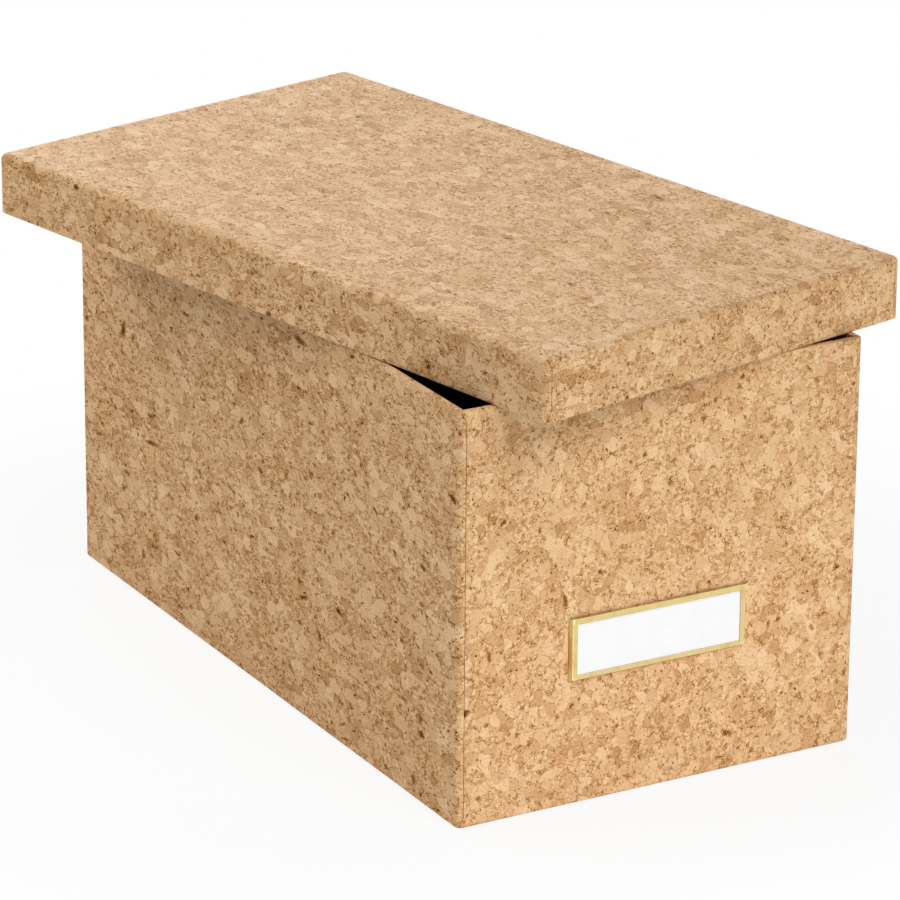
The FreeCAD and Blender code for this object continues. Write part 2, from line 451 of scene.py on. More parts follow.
        paleness = bench.math("SUBTRACT", bench.math("POWER", lightness, self.pale_power), self.pale_middle)
        tone = bench.math("MULTIPLY", paleness, bench.between(whole, self.crumb_spread, self.granule_spread))
        for layer, share in (
            (self.streaked(bench, bent, bit), bench.between(sheen, *self.streak_tones)),
            (grit, self.grit_tone),
            (self.cloud.spread(bench, place), self.cloud_tone),
        ):
            tone = bench.math("MULTIPLY_ADD", layer, share, tone)
        tone = bench.math("SUBTRACT", tone, marks)
        tone = bench.math("MULTIPLY_ADD", tone, effect.inputs["Contrast"], self.middle_tone)

        colour, tint = bench.ramp(tone, self.tones), bench.ramp(hue, self.tints)
        lumps = bench.noise(place, self.lump, 1.0).outputs[0]
        pits = bench.noise(place, self.pit).outputs[0]
        return effect.close({
            "Colour": bench.blend("MULTIPLY", self.tint_share, colour, tint),
            "Marks": marks,
            "Height": bench.math("MULTIPLY_ADD", lumps, self.lump_height, pits),
        })


@dataclass(frozen=True)
class CorkFinish:
    """Matte cork sheet with painted shade along its seams, which may have a thin seal on the faces that look
    up.
    """

    name: str
    grain: bpy.types.NodeTree
    lot: tuple[float, float, float]
    drawn_out: tuple[float, float, float]
    contrast: float = 1.0
    gloss: float = 0.03
    top_seal: float = 0.0
    seal_index: float = 1.2
    seal_roughness: float = 0.6
    seal_slope: tuple[float, float] = (0.2, 0.9)
    roughness: tuple[float, float] = (0.58, 0.85)
    seam_shade_colour: Seen = (96, 46, 8)
    seam_shade_share: float = 0.75
    relief: float = 0.45 * MM

    def material(self) -> bpy.types.Material:
        """Build the material from Object coordinates, moved to this lot's own place in the grain.

        Returns:
            The material.
        """
        material, bench, shader = new_finish(self.name)
        place = bench.place([1 / (MM * stretch) for stretch in self.drawn_out], self.lot)
        grain = bench.add("Group", {"Place": place, "Contrast": self.contrast}, node_tree=self.grain).outputs
        # Painted shade along the seams, standing in for the shade in the gaps between the sheets and on their
        # pressed lips.
        seam = bench.add("Attribute", attribute_name="seam").outputs["Fac"]
        seam = bench.math("MULTIPLY", seam, self.seam_shade_share)
        bench.feed(shader, {
            "Base Color": bench.blend("MIX", seam, grain["Colour"], shade(*self.seam_shade_colour)),
            "Roughness": bench.remap(grain["Marks"], 0.0, 1.0, *self.roughness),
            "Specular IOR Level": self.gloss,
            "Normal": bench.bump(grain["Height"], self.relief, 1.0),
        })
        if self.top_seal:
            upward = bench.add("SeparateXYZ", {0: bench.add("NewGeometry").outputs["Normal"]}).outputs["Z"]
            bench.feed(shader, {
                "Coat Weight": bench.remap(upward, *self.seal_slope, 0.0, self.top_seal),
                "Coat IOR": self.seal_index,
                "Coat Roughness": self.seal_roughness,
            })
        return material


@dataclass(frozen=True)
class PaperFibre:
    """Pressed fibres that every paper and board here shows, in layers that cross. Sizes in mm."""

    layer_turns: tuple[float, ...] = (0.35, 1.45, 2.6)
    turn_axis: tuple[float, float, float] = (0.5, 0.7, 0.6)
    thickness: float = 0.125
    strands: Blotches = Blotches(1.0, 1.0, 0.52, 0.72)
    cloud: float = 6.0
    cloud_detail: float = 4.0
    tooth: float = 0.3

    def group(self) -> bpy.types.NodeTree:
        """Build the group, which takes a place in mm and the length of the fibres.

        Returns:
            The group, which gives fibres, clouds and height.
        """
        effect = Effect(
            "paper_fibre",
            {"Place": "Vector", "Fibre length": "Float"},
            {"Fibre": "Float", "Cloud": "Float", "Height": "Float"},
        )
        bench = effect.bench
        place = effect.inputs["Place"]
        along, across = bench.math("DIVIDE", 1.0, effect.inputs["Fibre length"]), 1 / self.thickness
        size = bench.add("CombineXYZ", {0: along, 1: across, 2: across}).outputs[0]
        layers = []
        for angle in self.layer_turns:
            turned = bench.add("VectorRotate", {"Vector": place, "Angle": angle, "Axis": self.turn_axis})
            layers.append(self.strands.spread(bench, bench.move("MULTIPLY", turned.outputs[0], size)))
        fibre = bench.largest(layers)
        return effect.close({
            "Fibre": fibre,
            "Cloud": bench.noise(place, self.cloud, self.cloud_detail).outputs[0],
            "Height": bench.math("ADD", fibre, bench.noise(place, self.tooth).outputs[0]),
        })


@dataclass(frozen=True)
class PaperFinish:
    """Paper or board with its own colour and fibres. Fibre length in mm."""

    name: str
    fibre: bpy.types.NodeTree
    colour: Seen
    fibre_colour: Seen
    fibre_length: float
    fibre_share: float
    roughness: tuple[float, float]
    relief: float
    cloud: float = 0.06
    cloud_range: tuple[float, float] = (0.3, 0.7)
    gloss: float = 0.2
    relief_share: float = 0.6

    def material(self) -> bpy.types.Material:
        """Build the material from Object coordinates.

        Returns:
            The material.
        """
        material, bench, shader = new_finish(self.name)
        inputs = {"Place": bench.place(), "Fibre length": self.fibre_length}
        fibre = bench.add("Group", inputs, node_tree=self.fibre).outputs
        cloudy = bench.remap(fibre["Cloud"], *self.cloud_range, 1 - self.cloud, 1 + self.cloud)
        cloudy = bench.add("CombineXYZ", {0: cloudy, 1: cloudy, 2: cloudy}).outputs[0]
        base = bench.blend("MULTIPLY", 1.0, shade(*self.colour), cloudy)
        share = bench.math("MULTIPLY", fibre["Fibre"], self.fibre_share)
        bench.feed(shader, {
            "Base Color": bench.blend("MIX", share, base, shade(*self.fibre_colour)),
            "Roughness": bench.remap(fibre["Cloud"], *self.cloud_range, *self.roughness),
            "Specular IOR Level": self.gloss,
            "Normal": bench.bump(fibre["Height"], self.relief, self.relief_share),
        })
        return material


@dataclass(frozen=True)
class BrassFinish:
    """Lacquered brass with faint drawing lines, coloured from the front to the foot: a painted highlight
    along its rounded edge, painted shade on its walls and a painted shadow where it meets the cork.

    Each range gives the values of the noise and of the result at its two ends.
    """

    name: str
    front: float
    foot: float
    face: Seen = (229, 206, 142)
    worn: Seen = (222, 206, 160)
    # Painted highlight along the bezel's rounded edge.
    edge: Seen = (255, 238, 180)
    # Painted shade on the walls that run back to the cork.
    wall: Seen = (208, 172, 112)
    shadow: Seen = (142, 96, 46)
    lines_per_metre: tuple[float, float, float] = (60.0, 9000.0, 9000.0)
    line_depth: float = 0.004 * MM
    line_strength: float = 0.5
    line_roughness: tuple[float, float, float, float] = (0.3, 0.7, 0.2, 0.3)
    mark_size: float = 4.0 * MM
    mark_detail: float = 3.0
    mark_roughness: tuple[float, float, float, float] = (0.4, 0.7, 0.0, 0.08)
    mark_wear: tuple[float, float, float, float] = (0.45, 0.75, 0.0, 0.5)

    def tones(self) -> tuple[tuple[float, Seen], ...]:
        """Give the colours from the front to the foot: the face, the painted highlight on the rounded edge,
        the painted shade on the walls and the painted shadow at the foot.
        """
        edge, wall = self.edge, self.wall
        return (0.0, self.face), (0.015, edge), (0.13, edge), (0.2, wall), (0.85, wall), (1.0, self.shadow)

    def material(self) -> bpy.types.Material:
        """Build the material from Object coordinates.

        Returns:
            The material.
        """
        material, bench, shader = new_finish(self.name)
        place = bench.add("TexCoord").outputs["Object"]
        lines = bench.noise(bench.place(self.lines_per_metre), 1.0).outputs[0]
        marks = bench.noise(place, self.mark_size, self.mark_detail).outputs[0]
        depth = bench.add("SeparateXYZ", {0: place}).outputs["Y"]
        inputs = {"Value": depth, "From Min": self.front, "From Max": self.foot}
        # Colour by depth: the face, then the painted highlight, the painted wall shade and the painted shadow
        # towards the cork.
        colour = bench.ramp(bench.add("MapRange", inputs).outputs[0], self.tones())
        wear = bench.remap(marks, *self.mark_wear)
        drawn, handled = bench.remap(lines, *self.line_roughness), bench.remap(marks, *self.mark_roughness)
        bench.feed(shader, {
            "Base Color": bench.blend("MULTIPLY", wear, colour, shade(*self.worn)),
            "Metallic": 1.0,
            "Roughness": bench.math("ADD", drawn, handled),
            "Normal": bench.bump(lines, self.line_depth, self.line_strength),
        })
        return material


class Wall(Enum):
    """Wall of a tray or lid, by the turn in degrees that lays a front sheet on it."""

    FRONT = 0
    RIGHT = 90
    BACK = 180
    LEFT = 270

    @property
    def laps(self) -> bool:
        """Tell whether the wall's sheet laps round its upright corners, as on the two long walls."""
        return self in (Wall.LEFT, Wall.RIGHT)


@dataclass(frozen=True)
class Row:
    """Line along a cork sheet: how deep behind the wall's outside and how high it lies, and its seam's state.

    The slant is 0 where the seam is upright and 1 where it has slanted out to the corner.
    """

    inset: float
    height: float
    slant: float
    gap: float


def rounded(
    inset: float, height: float, radius: float, start: int, end: int, steps: int
) -> list[tuple[float, float]]:
    """Give the points of a rounded fold in a wall's cross-section, without the first.

    Args:
        inset: Depth of the fold's centre behind the wall's outside.
        height: Height of the centre.
        radius: Radius of the fold.
        start: Direction of the first point in degrees, 0 outwards and 90 up.
        end: Direction of the last point.
        steps: Number of steps between them.

    Returns:
        Depth and height of each point.
    """
    points = []
    for step in range(1, steps + 1):
        angle = math.radians(start + (end - start) * step / steps)
        points.append((inset - radius * math.cos(angle), height + radius * math.sin(angle)))
    return points


def straight(start: tuple[float, float], end: tuple[float, float], step: float) -> list[tuple[float, float]]:
    """Give evenly spaced points of a flat stretch in a wall's cross-section, without the first.

    Args:
        start: Depth and height where the stretch starts.
        end: Depth and height where it ends.
        step: Rough spacing.

    Returns:
        Depth and height of each point.
    """
    first, last = Vector(start), Vector(end)
    count = max(1, round((last - first).length / step))
    return [tuple(first.lerp(last, index / count)) for index in range(1, count + 1)]


@dataclass(frozen=True)
class CorkSheet:
    """Cork sheet folded over one wall, modelled on the front wall.

    Its rows run from one corner to the other, and its seams tell how strongly the painted seam shade and the
    pressed lips show at its left and right ends.
    """

    half_span: float
    reach: float
    corner: float
    rows: tuple[Row, ...]
    laps: bool
    spacing: float
    seams: tuple[float, float] = (1.0, 1.0)
    end_steps: tuple[float, ...] = tuple(
        step * MM for step in (0.0, 0.2, 0.5, 0.9, 1.4, 1.9, 2.4, 2.9, 3.4, 4.0, 4.8, 5.9)
    )

    def half_length(self, row: Row) -> float:
        """Give half the length of a row, from its middle to the seam or to the mitre of a fold.

        Args:
            row: Row of the sheet.

        Returns:
            Half the row's length.
        """
        if row.inset >= self.corner:
            return self.half_span - row.inset - row.gap
        corner_turn = math.radians(90 - 45 * row.slant if self.laps else 45 * row.slant)
        return self.half_span - self.corner + (self.corner - row.inset) * corner_turn - row.gap

    def stations(self, row: Row) -> list[tuple[float, float]]:
        """Give the places of a row's points.

        Args:
            row: Row of the sheet.

        Returns:
            Each point's distance along the row from its middle, and its distance from the nearer end.
        """
        half = self.half_length(row)
        count = round(2 * (self.half_span - self.end_steps[-1]) / self.spacing)
        inner_half = half - self.end_steps[-1]
        left = [(step - half, step) for step in self.end_steps[:-1]]
        inner = [(inner_half * (2 * index / count - 1), self.end_steps[-1]) for index in range(count + 1)]
        return left + inner + [(-along, step) for along, step in reversed(left)]

    def point(self, row: Row, along: float) -> Vector:
        """Give a point of a row, on the flat wall or round the upright corner.

        Args:
            row: Row that the point is on.
            along: Distance along the row from its middle.

        Returns:
            The point, on the front wall.
        """
        flat = self.half_span - self.corner
        past = abs(along) - flat
        if past <= 0 or row.inset >= self.corner:
            return Vector((along, row.inset - self.reach, row.height))
        radius = self.corner - row.inset
        angle = past / radius
        side = math.copysign(flat + radius * math.sin(angle), along)
        return Vector((side, self.corner - self.reach - radius * math.cos(angle), row.height))

    def lay(self, mesh: bmesh.types.BMesh, wall: Wall) -> None:
        """Add the folded sheet to a mesh, with its closeness to the seam on each vertex.

        Args:
            mesh: Mesh that the sheet goes into.
            wall: Wall that the sheet covers.
        """
        seam = mesh.verts.layers.float.get("seam") or mesh.verts.layers.float.new("seam")
        lines = [self.stations(row) for row in self.rows]
        columns = len(lines[0]) - 1
        grid = bmesh.ops.create_grid(mesh, x_segments=columns, y_segments=len(self.rows) - 1, size=1.0)
        turn = Matrix.Rotation(math.radians(wall.value), 3, "Z")
        vertices = iter(grid["verts"])
        widest_gap = max(row.gap for row in self.rows)
        for row, line in zip(self.rows, lines):
            for along, from_end in line:
                vertex = next(vertices)
                vertex.co = turn @ self.point(row, along)
                # Closeness to the seam, weaker at a shut end and on rows with a narrower gap; it sets the
                # painted seam shade and the lip depth.
                closeness = max(0.0, 1.0 - from_end / SEAM_SHADE)
                vertex[seam] = closeness * self.seams[along > 0] * row.gap / widest_gap


@dataclass(frozen=True)
class CorkRelief:
    """Relief of the cork's outside below its face: long waves, small bumps and lips along the seams."""

    wave_length: float = 38.0 * MM
    wave_depth: float = 0.06 * MM
    bump_length: float = 4.5 * MM
    bump_depth: float = 0.05 * MM
    lip_depth: float = 0.1 * MM

    def press(self, mesh: bmesh.types.BMesh) -> None:
        """Press a mesh in along its normals.

        Args:
            mesh: Mesh of a sheet, with its closeness to the seam on each vertex.
        """
        mesh.normal_update()
        seam = mesh.verts.layers.float["seam"]
        for vertex in mesh.verts:
            wave = 0.5 + 0.5 * noise.noise(vertex.co / self.wave_length)
            bump = 0.5 + 0.5 * noise.noise(vertex.co / self.bump_length)
            depth = self.wave_depth * wave + self.bump_depth * bump + self.lip_depth * vertex[seam]
            vertex.co -= vertex.normal * depth


def finish_piece(name: str, mesh: bmesh.types.BMesh, material: bpy.types.Material) -> bpy.types.Object:
    """Turn a mesh under construction into a smooth-shaded piece.

    Args:
        name: Name of the piece.
        mesh: Mesh under construction, which is freed.
        material: Finish of the piece.

    Returns:
        The piece, at the origin.
    """
    for face in mesh.faces:
        face.smooth = True
    data = bpy.data.meshes.new(name)
    mesh.to_mesh(data)
    mesh.free()
    data.materials.append(material)
    piece = bpy.data.objects.new(name, data)
    bpy.context.scene.collection.objects.link(piece)
    return piece


def thicken(piece: bpy.types.Object, thickness: float) -> None:
    """Give a sheet its thickness, inwards from its outside.

    Args:
        piece: Sheet without thickness.
        thickness: Thickness that it gets.
    """
    modifier = piece.modifiers.new("thickness", "SOLIDIFY")
    modifier.thickness = thickness
    modifier.offset = -1.0


@dataclass(frozen=True)
class TrayCork:
    """Four cork sheets round the tray, each folded over the rim and under the floor."""

    width: float
    length: float
    bottom: float
    top: float
    corner: float = 2.4 * MM
    foot: float = 1.0 * MM
    rim: float = 2.6 * MM
    rim_fold: float = 0.5 * MM
    turn_in: float = 15.0 * MM
    turn_under: float = 16.0 * MM
    seam_slant: float = 4.0 * MM
    half_gap: float = 0.012 * MM
    shut_seam: float = 0.15
    thickness: float = 0.15 * MM
    spacing: float = 1.8 * MM

    def profile(self) -> list[tuple[float, float]]:
        """Give the cross-section from the end under the floor, up the wall and over the rim.

        Returns:
            Depth and height of each point.
        """
        foot_centre = self.bottom + self.foot
        rim_centre = self.top - self.rim_fold
        inner_fold = self.rim - self.rim_fold
        points = [(self.turn_under, self.bottom)]
        points += straight(points[-1], (self.foot, self.bottom), self.spacing)
        points += rounded(self.foot, foot_centre, self.foot, -90, 0, 5)
        points += straight(points[-1], (0.0, self.bottom + self.seam_slant), self.seam_slant / 4)
        points += straight(points[-1], (0.0, self.top - self.seam_slant), self.spacing)
        points += straight(points[-1], (0.0, rim_centre), self.seam_slant / 4)
        points += rounded(self.rim_fold, rim_centre, self.rim_fold, 0, 90, 4)
        points += straight(points[-1], (inner_fold, self.top), self.rim_fold)
        points += rounded(inner_fold, rim_centre, self.rim_fold, 90, 180, 4)
        points += straight(points[-1], (self.rim, self.top - self.turn_in), self.spacing)
        return points

    def slant(self, inset: float, height: float) -> float:
        """Tell how far the seam has slanted out to the corner.

        Args:
            inset: Depth behind the wall's outside.
            height: Height above the floor that the tray stands on.

        Returns:
            0 where the seam is upright, and up to 1 at the corner.
        """
        if inset > self.foot:
            return 1.0
        to_fold = min(self.top - height, height - self.bottom)
        return max(0.0, 1.0 - to_fold / self.seam_slant)

    def seams(self, wall: Wall) -> tuple[float, float]:
        """Tell how strongly the painted seam shade and the lips show at a sheet's two ends: weakly at the
        front right, where the seam is pressed shut.
        """
        shut = {Wall.FRONT: (1.0, self.shut_seam), Wall.RIGHT: (self.shut_seam, 1.0)}
        return shut.get(wall, (1.0, 1.0))

    def piece(self, wall: Wall, material: bpy.types.Material, relief: CorkRelief) -> bpy.types.Object:
        """Make the sheet of one wall.

        Args:
            wall: Wall that the sheet covers.
            material: Cork finish.
            relief: Unevenness of the cork.

        Returns:
            The sheet.
        """
        rows = tuple(
            Row(inset, height, self.slant(inset, height), self.half_gap) for inset, height in self.profile()
        )
        spans = (self.length / 2, self.width / 2) if wall.laps else (self.width / 2, self.length / 2)
        mesh = bmesh.new()
        CorkSheet(*spans, self.corner, rows, wall.laps, self.spacing, self.seams(wall)).lay(mesh, wall)
        relief.press(mesh)
        piece = finish_piece(f"{wall.name.lower()}_cork_wrap", mesh, material)
        thicken(piece, self.thickness)
        return piece


@dataclass(frozen=True)
class LidCork:
    """One cork sheet over the lid: a top and four sides folded down, with a slit beside each corner."""

    centre: tuple[float, float]
    bottom: float
    depth: float
    width: float = 165.0 * MM
    length: float = 294.0 * MM
    corner: float = 2.8 * MM
    edge: float = 2.4 * MM
    rim: float = 2.6 * MM
    rim_fold: float = 0.5 * MM
    turn_in: float = 12.0 * MM
    seam_slant: float = 4.0 * MM
    half_gap: float = 0.012 * MM
    thickness: float = 0.15 * MM
    spacing: float = 1.9 * MM
    turn: float = math.radians(12.0)
    weld: float = 0.002 * MM

    def profile(self) -> list[tuple[float, float]]:
        """Give the cross-section from the end inside, round the lower edge and up to the top.

        Returns:
            Depth and height of each point.
        """
        inner_fold = self.rim - self.rim_fold
        edge_centre = self.depth - self.edge
        points = [(self.rim, self.turn_in)]
        points += straight(points[-1], (self.rim, self.rim_fold), self.spacing)
        points += rounded(inner_fold, self.rim_fold, self.rim_fold, 180, 270, 4)
        points += straight(points[-1], (self.rim_fold, 0.0), self.rim_fold)
        points += rounded(self.rim_fold, self.rim_fold, self.rim_fold, 270, 360, 4)
        points += straight(points[-1], (0.0, self.seam_slant), self.seam_slant / 4)
        points += straight(points[-1], (0.0, self.depth - self.seam_slant), self.spacing)
        points += straight(points[-1], (0.0, edge_centre), self.seam_slant / 4)
        points += rounded(self.edge, edge_centre, self.edge, 0, 90, 8)
        return points

    def row(self, inset: float, height: float) -> Row:
        """Give a row its seam: upright on the wall, out to the corner at the folds, and closed at the top.

        Args:
            inset: Depth behind the wall's outside.
            height: Height above the lid's lower edge.

        Returns:
            The row.
        """
        to_top = self.depth - height
        if inset > self.edge:
            return Row(inset, height, 1.0, self.half_gap)
        slant = max(0.0, 1.0 - min(to_top, height) / self.seam_slant)
        gap = self.half_gap * min(1.0, max(0.0, to_top / self.edge))
        return Row(inset, height, slant, gap)

    def add_top(self, mesh: bmesh.types.BMesh, front: CorkSheet, right: CorkSheet) -> None:
        """Add the flat top between the uppermost rows of the four sides.

        Args:
            mesh: Mesh that the top goes into.
            front: Sheet of the front side.
            right: Sheet of the right side.
        """
        along_front = [front.point(front.rows[-1], along) for along, _ in front.stations(front.rows[-1])]
        along_right = [right.point(right.rows[-1], along) for along, _ in right.stations(right.rows[-1])]
        columns, lines = len(along_front), len(along_right)
        grid = bmesh.ops.create_grid(mesh, x_segments=columns - 1, y_segments=lines - 1, size=1.0)
        for index, vertex in enumerate(grid["verts"]):
            line, column = divmod(index, columns)
            x, y = along_front[column].x, along_right[line].x
            if line in (0, lines - 1):
                y = math.copysign(along_front[column].y, y)
            if column in (0, columns - 1):
                x = math.copysign(along_right[line].y, x)
            vertex.co = (x, y, self.depth)

    def piece(self, material: bpy.types.Material, relief: CorkRelief) -> bpy.types.Object:
        """Make the lid's sheet and lay it askew on the rim.

        Args:
            material: Cork finish.
            relief: Unevenness of the cork.

        Returns:
            The sheet.
        """
        rows = tuple(self.row(inset, height) for inset, height in self.profile())
        halves = (self.width / 2, self.length / 2)
        front = CorkSheet(*halves, self.corner, rows, False, self.spacing)
        right = CorkSheet(*reversed(halves), self.corner, rows, True, self.spacing)
        mesh = bmesh.new()
        for wall in Wall:
            (right if wall.laps else front).lay(mesh, wall)
        self.add_top(mesh, front, right)
        bmesh.ops.remove_doubles(mesh, verts=mesh.verts, dist=self.weld)
        place = Matrix.Translation((*self.centre, self.bottom)) @ Matrix.Rotation(self.turn, 4, "Z")
        bmesh.ops.transform(mesh, matrix=place, verts=mesh.verts)
        relief.press(mesh)
        piece = finish_piece("lid_cork_wrap", mesh, material)
        thicken(piece, self.thickness)
        return piece


@dataclass(frozen=True)
class LabelHolder:
    """Stamped label holder: a bezel with a window, three flared walls and two clinched prongs."""

    centre: float
    wall_face: float
    top: float
    width: float = 68.4 * MM
    height: float = 22.2 * MM
    side_bar: float = 1.7 * MM
    bottom_bar: float = 1.5 * MM
    top_bar: float = 2.1 * MM
    edge_radius: float = 0.45 * MM
    stand_off: float = 1.6 * MM
    flare: float = 1.1 * MM
    sheet: float = 0.5 * MM
    raw_edge: float = 0.08 * MM
    prong_width: float = 5.0 * MM
    prong_reach: float = 2.95 * MM
    prong_clinch: float = 6.0 * MM
    weld: float = 0.001 * MM
    sharp: float = math.radians(40)

    def cut(self, mesh: bmesh.types.BMesh, place: float, axis: int) -> None:
        """Cut all faces along a line.

        Args:
            mesh: Mesh of the plate.
            place: Where the line crosses the axis.
            axis: Axis that the line crosses, 0 for X and 2 for the height.
        """
        point, normal = Vector((0, 0, 0)), Vector((0, 0, 0))
        point[axis], normal[axis] = place, 1.0
        everything = mesh.verts[:] + mesh.edges[:] + mesh.faces[:]
        bmesh.ops.bisect_plane(mesh, geom=everything, plane_co=point, plane_no=normal)

    def plate(self, mesh: bmesh.types.BMesh) -> None:
        """Lay the bezel's plate, centred on the origin and facing the front, and cut its window.

        Args:
            mesh: Empty mesh that the plate goes into.
        """
        blank = bmesh.ops.create_grid(mesh, x_segments=1, y_segments=1, size=0.5)
        upright = Matrix.Rotation(math.radians(90), 4, "X") @ Matrix.Diagonal((self.width, self.height, 1, 1))
        bmesh.ops.transform(mesh, matrix=upright, verts=blank["verts"])
        half_window = self.width / 2 - self.side_bar
        low, high = self.bottom_bar - self.height / 2, self.height / 2 - self.top_bar
        for side in (-1, 1):
            self.cut(mesh, side * half_window, 0)
            self.cut(mesh, side * self.prong_width / 2, 2)
        self.cut(mesh, low, 2)
        self.cut(mesh, high, 2)
        centres = {face: face.calc_center_median() for face in mesh.faces}
        window = [face for face, at in centres.items() if abs(at.x) < half_window and low < at.z < high]
        bmesh.ops.delete(mesh, geom=window, context="FACES")

    def draw_walls(self, mesh: bmesh.types.BMesh) -> list[bmesh.types.BMEdge]:
        """Draw the sides and the lower wall back to the cork, flaring out.

        Args:
            mesh: Mesh with the plate.

        Returns:
            Edges of the walls' foot.
        """
        half, low, near = self.width / 2, -self.height / 2, self.raw_edge

        def is_bent(edge: bmesh.types.BMEdge) -> bool:
            """Tell whether an edge lies on the plate's left, right or lower outline.

            Args:
                edge: Edge of the plate.

            Returns:
                Whether it lies there.
            """
            ends = [vertex.co for vertex in edge.verts]
            on_side = all(abs(abs(end.x) - half) < near for end in ends)
            return on_side or all(abs(end.z - low) < near for end in ends)

        bent = [edge for edge in mesh.edges if is_bent(edge)]
        drawn = bmesh.ops.extrude_edge_only(mesh, edges=bent)["geom"]
        for vertex in (item for item in drawn if isinstance(item, bmesh.types.BMVert)):
            if abs(abs(vertex.co.x) - half) < near:
                vertex.co.x += math.copysign(self.flare, vertex.co.x)
            if abs(vertex.co.z - low) < near:
                vertex.co.z -= self.flare
            vertex.co.y += self.stand_off
        upright = [edge for edge in mesh.edges if edge.verts[0].co.y != edge.verts[1].co.y]
        corners = [edge for edge in upright if self.at_corner(edge)]
        bmesh.ops.bevel(
            mesh, geom=bent + corners, offset=self.edge_radius, offset_type="OFFSET", segments=4, profile=0.5,
            affect="EDGES", material=-1, clamp_overlap=True,
        )
        return [
            edge for edge in mesh.edges
            if all(abs(vertex.co.y - self.stand_off) < near for vertex in edge.verts)
        ]

    def at_corner(self, edge: bmesh.types.BMEdge) -> bool:
        """Tell whether an edge runs from the plate's lower corner to the foot."""
        low, half = -self.height / 2 + self.raw_edge, self.width / 2 - self.raw_edge
        return all(vertex.co.z < low and abs(vertex.co.x) > half for vertex in edge.verts)

    def bend_prongs(self, mesh: bmesh.types.BMesh, foot: list[bmesh.types.BMEdge]) -> None:
        """Run a prong from the middle of each side's foot through the wall and bend it inwards.

        Args:
            mesh: Mesh with plate and walls.
            foot: Edges of the walls' foot.
        """
        reach = self.prong_width / 2 + self.raw_edge
        half = self.width / 2
        prongs = [
            edge for edge in foot
            if all(abs(vertex.co.z) < reach and abs(vertex.co.x) > half for vertex in edge.verts)
        ]
        for inwards, backwards in ((0.0, self.prong_reach), (self.prong_clinch, 0.0)):
            grown = bmesh.ops.extrude_edge_only(mesh, edges=prongs)["geom"]
            for vertex in (item for item in grown if isinstance(item, bmesh.types.BMVert)):
                vertex.co.x -= math.copysign(inwards, vertex.co.x)
                vertex.co.y += backwards
            prongs = [item for item in grown if isinstance(item, bmesh.types.BMEdge)]
            prongs = [edge for edge in prongs if edge.is_boundary and self.is_tip(edge, grown)]

    @staticmethod
    def is_tip(edge: bmesh.types.BMEdge, grown: list) -> bool:
        """Tell whether both ends of an edge have just been drawn out."""
        return all(vertex in grown for vertex in edge.verts)

    def piece(self, material: bpy.types.Material) -> bpy.types.Object:
        """Make the holder on the front of the tray.

        Args:
            material: Metal finish.

        Returns:
            The holder.
        """
        mesh = bmesh.new()
        self.plate(mesh)
        self.bend_prongs(mesh, self.draw_walls(mesh))
        bmesh.ops.remove_doubles(mesh, verts=mesh.verts, dist=self.weld)
        place = Matrix.Translation((self.centre, self.wall_face - self.stand_off, self.top - self.height / 2))
        bmesh.ops.transform(mesh, matrix=place, verts=mesh.verts)
        piece = finish_piece("label_holder", mesh, material)
        thicken(piece, self.sheet)
        piece.modifiers["thickness"].use_even_offset = True
        edge = piece.modifiers.new("raw_edges", "BEVEL")
        edge.width = self.raw_edge
        edge.segments = 2
        edge.limit_method = "ANGLE"
        edge.angle_limit = self.sharp
        piece.modifiers.new("flat_faces", "WEIGHTED_NORMAL")
        return piece


def direction(azimuth: float, elevation: float) -> Vector:
    """Give the way from the part to something round it.

    Args:
        azimuth: Angle in degrees, 0 in front and 90 on the right.
        elevation: Angle in degrees above level.

    Returns:
        The way, of length 1.
    """
    turn, rise = math.radians(azimuth), math.radians(elevation)
    return Vector((math.sin(turn) * math.cos(rise), -math.cos(turn) * math.cos(rise), math.sin(rise)))


@dataclass(frozen=True)
class Lamp:
    """Soft box of the studio, aimed at the part. Angles in degrees."""

    name: str
    azimuth: float
    elevation: float
    distance: float
    width: float
    height: float
    power: float
    mirrored: bool = True

    def place(self, target: Vector) -> bpy.types.Object:
        """Hang the lamp and aim it at a point.

        Args:
            target: Point that it is aimed at.

        Returns:
            The lamp.
        """
        data = bpy.data.lights.new(self.name, "AREA")
        data.shape = "RECTANGLE"
        data.size, data.size_y, data.energy = self.width, self.height, self.power
        lamp = bpy.data.objects.new(self.name, data)
        lamp.visible_glossy = self.mirrored
        away = direction(self.azimuth, self.elevation)
        lamp.location = target + away * self.distance
        lamp.rotation_euler = away.to_track_quat("Z", "Y").to_euler()
        bpy.context.scene.collection.objects.link(lamp)
        return lamp


